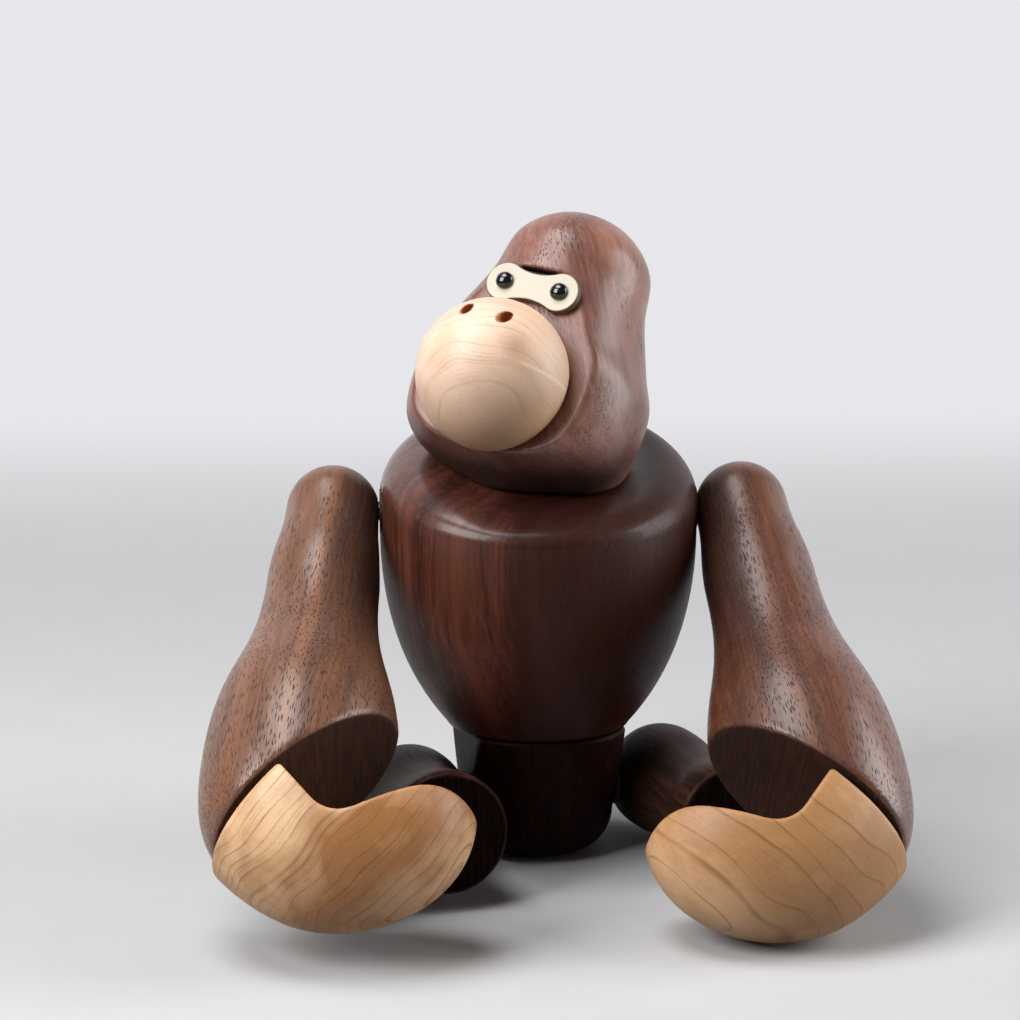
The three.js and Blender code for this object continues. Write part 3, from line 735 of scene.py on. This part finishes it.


def walnut(name, colours, heart, pores, gloss, oil, core=None, polish=None, thicken=0.0, saw=None,
           shaded=None, blur=0.28):
    """Oiled walnut: growth bands, streaks and short dark pores along the grain.

    gloss: of the bare wood. oil: of the coat over it. blur: of what the coat reflects.
    core: where the dark heartwood starts across the grain.
    polish: where the coat starts along the grain. It is thinner to one side.
    thicken: how fast the pores crowd along the grain.
    saw: the plane of a sawn face, which is darker and dull. Its darkness is partly end grain and partly
    painted shade.
    shaded: the mark of painted shade, where the wood is darkened and has no coat.
    """
    dark, mid, light = (rgb(*c) for c in colours)
    sawn_tones = [rgb(*(SAWN * np.array(c))) for c in colours[:2]]
    f = Finish(name)
    grain = f.grain()
    bent = f.bend(grain, f.streaks(grain, 0.5, 0.12, 2.0, 0.5, "Color"), 1.1)
    bands = f.noise(f.line(f.rings(bent, heart, 0.03)), 1.6, 3.0, 0.6)
    streaks = f.streaks(bent, 8.0, 0.25, 4.0, 0.65)
    veins = f.streaks(bent, 4.5, 0.12, 3.0, 0.55)
    fibre = f.streaks(grain, 45.0, 1.5, 2.0, 0.6)
    crowd = f.streaks(grain, 1.4, 0.4, 2.0, 0.5) + f.part(grain, "Z") * thicken
    crowd = crowd.step(0.6 - 0.35 * pores, 0.74 - 0.3 * pores)
    whole = (f.dot(grain, saw[0]) + saw[1]).step(0.1, 0.5) if saw else 1.0
    long_pores = f.pores(grain, 22.0, 2.8, 0.38) * crowd * whole
    specks = f.pores(f.shift(grain, (3.7, 1.9, 5.3)), 27.0, 3.0, 0.34)
    pale = 0.5
    tone = f.mix(bands.step(0.38, 0.62), dark, mid)
    if core:
        inner = f.part(bent, "X").step(*core)
        tone = f.mix(inner * 0.85, tone, dark)
        pale = 0.5 - inner * 0.4
    tone = f.mix(streaks.step(0.42, 0.74) * pale, tone, light)
    tone = f.mix(veins.step(0.53, 0.68) * 0.5, tone, dark)
    tone = f.mix(fibre.step(0.35, 0.7) * pale * 0.4, tone, light)
    tone = f.mix((long_pores * 0.85 + specks * 0.45 * pores).clamp(), tone, PORE)
    # Sawn faces are darkened: partly end grain, partly painted shade.
    if saw:
        lines = f.noise(f.stretch(grain, (11.0, 0.8, 11.0)), 1.0, 3.0, 0.6)
        tone = f.mix(whole, f.mix(lines.step(0.35, 0.7), *sawn_tones), tone)
    # Painted shade: the wood is darkened where its shade mark is.
    if shaded:
        tone = f.mix(f.mark(shaded), tone, PAINTED_SHADE)
    rough = 0.92 - (0.5 - long_pores * 0.25 - fibre * 0.1 + streaks * 0.06) * whole
    height = fibre * 0.15 - long_pores - specks * 0.4
    coat = (1 - long_pores * 0.85) * whole * oil
    if polish:
        to_side = f.part(grain, "X").step(1.5, 3.0)
        coat = coat * f.part(grain, "Z").step(*polish) * (1 - to_side * 0.8)
    # The painted shade takes no coat, so that it does not shine.
    if shaded:
        coat = coat * (1 - f.mark(shaded))
    return f.surface(color=tone, roughness=rough, normal=f.bump(height, 0.35, 0.00025),
                     specular=gloss, coat=coat, coat_roughness=blur)


def maple(name, colours, heart, spacing, strength, sheaves, deep=None, marks=()):
    """Oiled maple: thin uneven growth lines, close sheaves of finer ones and a soft cloudy tone.

    deep: the range of layers, from and to, that is darker.
    marks: names, weights and colours of the places with a tone of their own.
    """
    pale, warm, line = (rgb(*c) for c in colours)
    f = Finish(name)
    grain = f.grain()
    bent = f.bend(grain, f.streaks(grain, 0.55, 0.4, 1.0, 0.4, "Color"), 0.9)
    ring = f.rings(bent, heart, 0.06)
    uneven = f.noise(f.line(ring), 1.3, 1.0, 0.5)
    patchy = f.streaks(grain, 1.3, 0.9, 2.0, 0.5).step(0.34, 0.66)
    year = (ring * spacing + uneven * 2.0).fraction()
    late = year.step(0.84, 0.95) * (1 - year.step(0.95, 1.0))
    shade = year.step(0.3, 0.96) * (1 - year.step(0.96, 1.0))
    fine = f.noise(f.line(ring * 18.0), 1.0, 2.0, 0.6).step(0.46, 0.62)
    crowded = f.noise(f.line(ring), 1.0, 1.0, 0.5).step(0.44, 0.58)
    cloud = f.streaks(grain, 0.8, 0.5, 3.0, 0.55)
    fibre = f.streaks(bent, 30.0, 2.2, 2.0, 0.6)
    flecks = f.pores(grain, 18.0, 6.0, 0.22)
    share = cloud.step(0.36, 0.64) * 0.6
    if deep:
        layer = f.part(bent, "Y")
        inner = layer.step(deep[0] - 0.8, deep[0] + 0.8) * (1 - layer.step(deep[1] - 0.9, deep[1] + 0.9))
        share = (share + inner * 0.8).clamp()
    tone = f.mix(share, pale, warm)
    close = (shade * 0.15 + fine * crowded * sheaves).clamp() * (0.35 + patchy * 0.65)
    tone = f.mix(close * strength, tone, line)
    tone = f.mix(late * (0.35 + patchy * 0.4) * strength, tone, line)
    tone = f.mix((fibre.step(0.45, 0.8) * 0.2 + flecks * 0.3).clamp(), tone, line)
    for mark, weight, colour in marks:
        tone = f.mix(f.mark(mark) * weight, tone, rgb(*colour))
    rough = 0.38 + fibre * 0.14 + flecks * 0.1
    return f.surface(color=tone, roughness=rough, normal=f.bump(fibre * 0.3 - flecks * 0.5, 0.12, 0.0002))


# Planes of the sawn faces: a direction in the grain and the distance in millimetres
wrist_face = wrist_in_arm[:3, 2]
wrist_saw = tuple(ARM_GRAIN(wrist_face) / CM), -wrist_face @ wrist_in_arm[:3, 3]
# The sawn soles are darkened too, partly end grain and partly painted shade.
sole_face = leg_axis[:3, 1]
sole_saw = tuple(FORWARD(sole_face) / CM), LEG_LENGTH - sole_face @ leg_axis[:3, 3]

walnut_head = walnut(
    "walnut_head", [(0.135, 0.046, 0.031), (0.29, 0.118, 0.08), (0.42, 0.205, 0.148)],
    heart=(2.6, 3.4, 0), pores=0.3, gloss=0.35, oil=0.5, shaded="shade")
walnut_torso = walnut(
    "walnut_torso", [(0.032, 0.008, 0.005), (0.116, 0.034, 0.02), (0.175, 0.058, 0.034)],
    heart=(-2.6, 6.0, 0), pores=0.3, gloss=0.18, oil=1.0, core=(-1.5, -0.75), polish=(8.2, 10.0), blur=0.22)
walnut_arm = {
    side: walnut(
        f"walnut_arm_{side}", colours, heart,
        pores=0.6, gloss=0.35, oil=0.6, thicken=0.022, saw=wrist_saw, shaded="shade")
    for side, heart, colours in (
        ("left", (3.2, 2.2, 0), [(0.1, 0.034, 0.018), (0.22, 0.084, 0.037), (0.33, 0.148, 0.072)]),
        # The right arm's tones are darker than the left's: painted shade.
        ("right", (2.2, 3.6, 0), [(0.07, 0.02, 0.011), (0.165, 0.052, 0.024), (0.27, 0.103, 0.053)]),
    )
}
# The legs and the pelvis are much darker than the other walnut: painted shade, as they sit under the torso
# and between the arms.
walnut_leg = walnut(
    "walnut_leg", [(0.012, 0.004, 0.003), (0.045, 0.017, 0.012), (0.09, 0.038, 0.028)],
    heart=(3.0, 2.0, 0), pores=0.25, gloss=0.05, oil=0.03, saw=sole_saw)
walnut_seat = walnut(
    "walnut_seat", [(0.006, 0.0016, 0.0011), (0.017, 0.0045, 0.003), (0.034, 0.01, 0.007)],
    heart=(-3.0, 4.0, 0), pores=0.2, gloss=0.05, oil=0.0)

maple_hand = {
    "left": maple(
        "maple_hand_left", [(0.9, 0.57, 0.315), (0.43, 0.19, 0.065), (0.23, 0.075, 0.013)],
        heart=(1.0, 7.5, 0), spacing=3.4, strength=0.85, sheaves=0.7, deep=(-1.2, 0.8)),
    "right": maple(
        "maple_hand_right", [(0.76, 0.46, 0.25), (0.5, 0.25, 0.1), (0.23, 0.075, 0.013)],
        heart=(1.0, 7.5, 0), spacing=1.7, strength=0.85, sheaves=0.15, deep=(-2.8, 1.0)),
}
maple_muzzle = maple(
    "maple_muzzle", [(0.95, 0.685, 0.53), (0.79, 0.51, 0.335), (0.42, 0.2, 0.09)],
    heart=(0.6, 6.0, 0), spacing=3.0, strength=0.55, sheaves=0.6, marks=(
        ("golden", 0.65, (0.56, 0.34, 0.175)),
        ("stain", 0.5, (0.33, 0.17, 0.08)),
        ("seam", 0.8, (0.92, 0.77, 0.58)),
        # The nostril walls are darkened with painted shade.
        ("nostril_shade", 1.0, (0.5, 0.2, 0.085)),
    ))


def plate_finish():
    f = Finish("pale_plate")
    grain = f.grain()
    fibre = f.streaks(grain, 26.0, 1.5, 2.0, 0.6)
    cloud = f.noise(grain, 1.2, 2.0)
    tone = f.mix(cloud, rgb(0.645, 0.6, 0.495), rgb(0.61, 0.55, 0.42))
    tone = f.mix(fibre.step(0.5, 0.85) * 0.2, tone, rgb(0.7, 0.56, 0.36))
    tone = f.mix(f.mark("cut_edge") * (0.85 + cloud * 0.15), tone, rgb(0.075, 0.022, 0.006))
    return f.surface(color=tone, roughness=0.4 + fibre * 0.15, normal=f.bump(fibre, 0.08, 0.0002))


def bead_finish():
    f = Finish("black_bead")
    smear = f.noise(f.place(), 900.0, 2.0)
    tone = f.mix(smear, rgb(0.004, 0.004, 0.004), rgb(0.012, 0.011, 0.01))
    return f.surface(color=tone, roughness=0.05 + smear * 0.04, specular=0.5, coat=0.5, coat_roughness=0.04)


def plain_finish(name, a, b, scale, roughness, metallic=0.0):
    f = Finish(name)
    speck = f.noise(f.place(), scale, 3.0, 0.6)
    tone = f.mix(speck.step(0.3, 0.7), a, b)
    return f.surface(color=tone, roughness=roughness + speck * 0.15, metallic=metallic,
                     normal=f.bump(speck, 0.1, 0.0001))


pale_plate = plate_finish()
black_bead = bead_finish()
steel = plain_finish("pin_steel", rgb(0.06, 0.06, 0.065), rgb(0.1, 0.1, 0.1), 1500.0, 0.35, 1.0)
nylon = plain_finish("bush_nylon", rgb(0.75, 0.72, 0.66), rgb(0.82, 0.8, 0.74), 500.0, 0.45)
fibre = plain_finish("washer_fibre", rgb(0.02, 0.013, 0.01), rgb(0.045, 0.03, 0.024), 1800.0, 0.65)
beech = plain_finish("dowel_beech", rgb(0.5, 0.33, 0.19), rgb(0.6, 0.42, 0.26), 800.0, 0.5)


# The pieces

def finished(piece, node, body, material):
    piece.data.materials.append(material)
    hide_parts(node)
    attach(piece, body)


def on_muzzle(p):
    """Points as directions from the middle of the muzzle, 1 long at its surface."""
    return (p - [0, 0, MUZZLE_RISE]) / MUZZLE


def seam(p):
    """A pale natural line across the side of the muzzle."""
    first, last = np.array([0.69, 0.015, 0.727]), np.array([0.986, 0.063, -0.168])
    half_width, soft_end = 0.25 / MUZZLE, 0.0625
    q, span = on_muzzle(p), last - first
    across = q @ np.cross(first, last) / half_width
    reach = (q - first) @ span / (span @ span)
    ends = ramp(reach, -soft_end, soft_end) * ramp(1 - reach, -soft_end, soft_end)
    return np.exp(-across ** 2) * ends * (q[:, 0] > 0)


def golden(p):
    """The deeper tone of the muzzle, to one side and below."""
    return ramp(on_muzzle(p) @ [0.5, -0.75, -0.43], -0.333, 0.778)


def stain(p):
    """A soft brown cloud on the muzzle."""
    centre, radius = [0.572, 0.201, 0.798], 3.5 / MUZZLE
    return np.exp(-np.sum(((on_muzzle(p) - centre) / radius) ** 2, 1))


def nostril_shade(p):
    """Painted shade on the walls of the nostrils."""
    return ramp(nostril_depth(p), 0.35, 0.1)


def cut_edge(p):
    """The brown edge of the eye plate."""
    return ramp(past_plate(p), -0.367, -0.2)


def head_painted_shade(p):
    """Painted shade: the dark foot of the head, less at the back, and painted shadow in the slot under its
    brow.
    """
    height = seen_from(neck_from_face, p)[:, 2]
    foot = ramp(height, 19, 8) * np.maximum(0.4, ramp(p[:, 2], -34, -20))
    return np.maximum(0.9 * foot, ramp(under_brow(p), 0.333, 0))


def shoulder_painted_shade(p):
    """Painted shade: the darker inner side of an arm near its shoulder, where the torso shades it."""
    outward = seen_from(turn("y", -ARM_SPLAY), p)[:, 0]
    return 0.75 * ramp(p[:, 2], -85, -35) * ramp(outward, 1, -9)


piece = skin("pelvis_wood", pelvis_rule, pelvis_place, (-24, -25, 0), (24, 25, 35), 0.9, UPRIGHT)
finished(piece, "pelvis", "pelvis", walnut_seat)

piece = skin("torso_wood", torso_rule, np.eye(4), (-42, -42, 34), (42, 42, 122), 1.05, UPRIGHT)
finished(piece, "torso", "torso", walnut_torso)

# The head's shade mark is painted shade under its chin and in the brow slot.
piece = skin("head_wood", head_rule, face_place, (-32, -38, -54), (32, 60, 14), 0.75, HEAD_GRAIN,
             {"shade": head_painted_shade})
finished(piece, "head", "head", walnut_head)

piece = skin("muzzle_wood", muzzle_rule, face_place, (-21, -21, 0), (21, 21, 25), 0.42, MUZZLE_GRAIN,
             {"nostril_shade": nostril_shade, "seam": seam, "stain": stain, "golden": golden})
finished(piece, "muzzle", "head", maple_muzzle)

piece = skin("eye_plate_wood", plate_rule, face_place, (-14, 19.5, 0), (14, 32, 3), 0.22, ACROSS,
             {"cut_edge": cut_edge})
finished(piece, "eye_plate", "head", pale_plate)

for side in SIDES:
    place = face_place @ side_place(side)
    piece = skin(f"eye_bead_{side}", eye_rule, place, (4.7, 22.7, 1), (10.5, 28.5, 5), 0.2, UPRIGHT)
    finished(piece, f"eye_{side}", "head", black_bead)

    place = leg_place(side)
    piece = skin(f"leg_wood_{side}", leg_rule, place, (20, -46, -16), (54, 16, 16), 0.8, FORWARD)
    finished(piece, f"leg_{side}", f"leg_{side}", walnut_leg)

    place = arm_place(side)
    # The arm's shade mark is painted shade on its inner side.
    piece = skin(f"arm_wood_{side}", arm_rule, place, (-20, -25, -118), (36, 25, 13), 0.95, ARM_GRAIN,
                 {"shade": shoulder_painted_shade})
    finished(piece, f"arm_{side}", f"arm_{side}", walnut_arm[side])

    place, grain = hand_place(side), HAND_GRAIN[side]
    piece = skin(f"hand_wood_{side}", hand_rule, place, (-36, -27, -48), (36, 27, 0), 0.65, grain)
    finished(piece, f"hand_{side}", f"hand_{side}", maple_hand[side])

hidden = {"pin": steel, "bush": nylon, "washer": fibre, "dowel": beech}
for name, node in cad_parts.items():
    for word, material in hidden.items():
        if word in name.split("_"):
            node.data.materials.clear()
            node.data.materials.append(material)


# Floor, light and camera

def seen_straight(finish):
    """1 for what the camera or a glossy surface sees, 0 for light that the surface gives to others."""
    camera = finish.node("ShaderNodeLightPath", {}, {}, "Is Camera Ray")
    glossy = finish.node("ShaderNodeLightPath", {}, {}, "Is Glossy Ray")
    return (camera + glossy).clamp()


def cove():
    """A pale floor that turns up into a backdrop, which fades to an even tone."""
    front, back, bend, top, half_width = -2.0, 0.9, 0.5, 2.4, 3.0
    turns = np.linspace(0.1, math.pi / 2, 12)
    line = [(front, 0.0), (back, 0.0)]
    line += [(back + bend * math.sin(t), bend - bend * math.cos(t)) for t in turns]
    line += [(back + bend, top)]
    points = [(x, y, z) for x in (-half_width, half_width) for y, z in line]
    n = len(line)
    faces = [(i, i + 1, n + i + 1, n + i) for i in range(n - 1)]
    mesh = bpy.data.meshes.new("studio_floor")
    mesh.from_pydata(points, [], [face[::-1] for face in faces])
    mesh.polygons.foreach_set("use_smooth", [True] * len(faces))
    floor = bpy.data.objects.new("studio_floor", mesh)
    bpy.context.scene.collection.objects.link(floor)
    f = Finish("studio_floor")
    speck = f.noise(f.place(), 40.0, 2.0)
    seen = seen_straight(f)
    pale = f.mix(speck, rgb(0.58, 0.58, 0.59), rgb(0.61, 0.61, 0.61))
    f.surface(color=f.mix(seen, rgb(0.15, 0.15, 0.15), pale), roughness=0.7)
    far = f.part(f.place(), "Y").step(0.1, back)
    glow = f.node("ShaderNodeEmission", {}, {"Color": rgb(0.8, 0.8, 0.83)})
    blend = f.node("ShaderNodeMixShader", {}, {0: far * seen, 1: Value(f, f.shader.outputs[0]), 2: glow})
    f.put(f.tree.nodes["Material Output"].inputs["Surface"], blend)
    mesh.materials.append(f.material)


def soft_light(name, at, aim, size, power):
    lamp = bpy.data.lights.new(name, "AREA")
    lamp.shape = "RECTANGLE"
    lamp.size, lamp.size_y = size
    lamp.energy = power
    light = bpy.data.objects.new(name, lamp)
    light.location = at
    from_to = np.array(aim, float) - np.array(at, float)
    light.rotation_euler = [float(a) for a in look(from_to)]
    bpy.context.scene.collection.objects.link(light)


def look(direction):
    """Rotation of a lamp or camera that points along direction."""
    x, y, z = direction / np.linalg.norm(direction)
    return math.acos(-z), 0.0, math.atan2(-x, y)


cove()
soft_light("window", (-0.65, -0.41, 0.6), (0, 0, 0.08), (0.5, 0.5), 7.4)
soft_light("ceiling", (-0.25, -0.1, 0.92), (0, 0, 0.08), (0.5, 0.4), 5.0)
soft_light("side", (0.85, -0.05, 0.34), (0, 0, 0.1), (0.5, 0.8), 7.4)

world = bpy.data.worlds.new("studio")
world.use_nodes = True
world.node_tree.nodes["Background"].inputs["Color"].default_value = (0.9, 0.93, 1.0, 1.0)
world.node_tree.nodes["Background"].inputs["Strength"].default_value = 0.07
bpy.context.scene.world = world
bpy.context.scene.view_settings.view_transform = "Standard"

VIEW_TURN, VIEW_PITCH = degrees(-3.7), degrees(9.8)
ASIDE, BACK, HIGH = -7.3, -620.0, 197.5
lens = bpy.data.cameras.new("camera")
lens.sensor_width = 36.0
lens.lens = 85.5
lens.clip_start = 0.01
camera = bpy.data.objects.new("camera", lens)
c, s = math.cos(VIEW_TURN), math.sin(VIEW_TURN)
camera.location = ((ASIDE * c - BACK * s) * MM, (ASIDE * s + BACK * c) * MM, HIGH * MM)
camera.rotation_euler = (math.pi / 2 - VIEW_PITCH, 0, VIEW_TURN)
bpy.context.scene.collection.objects.link(camera)
bpy.context.scene.camera = camera
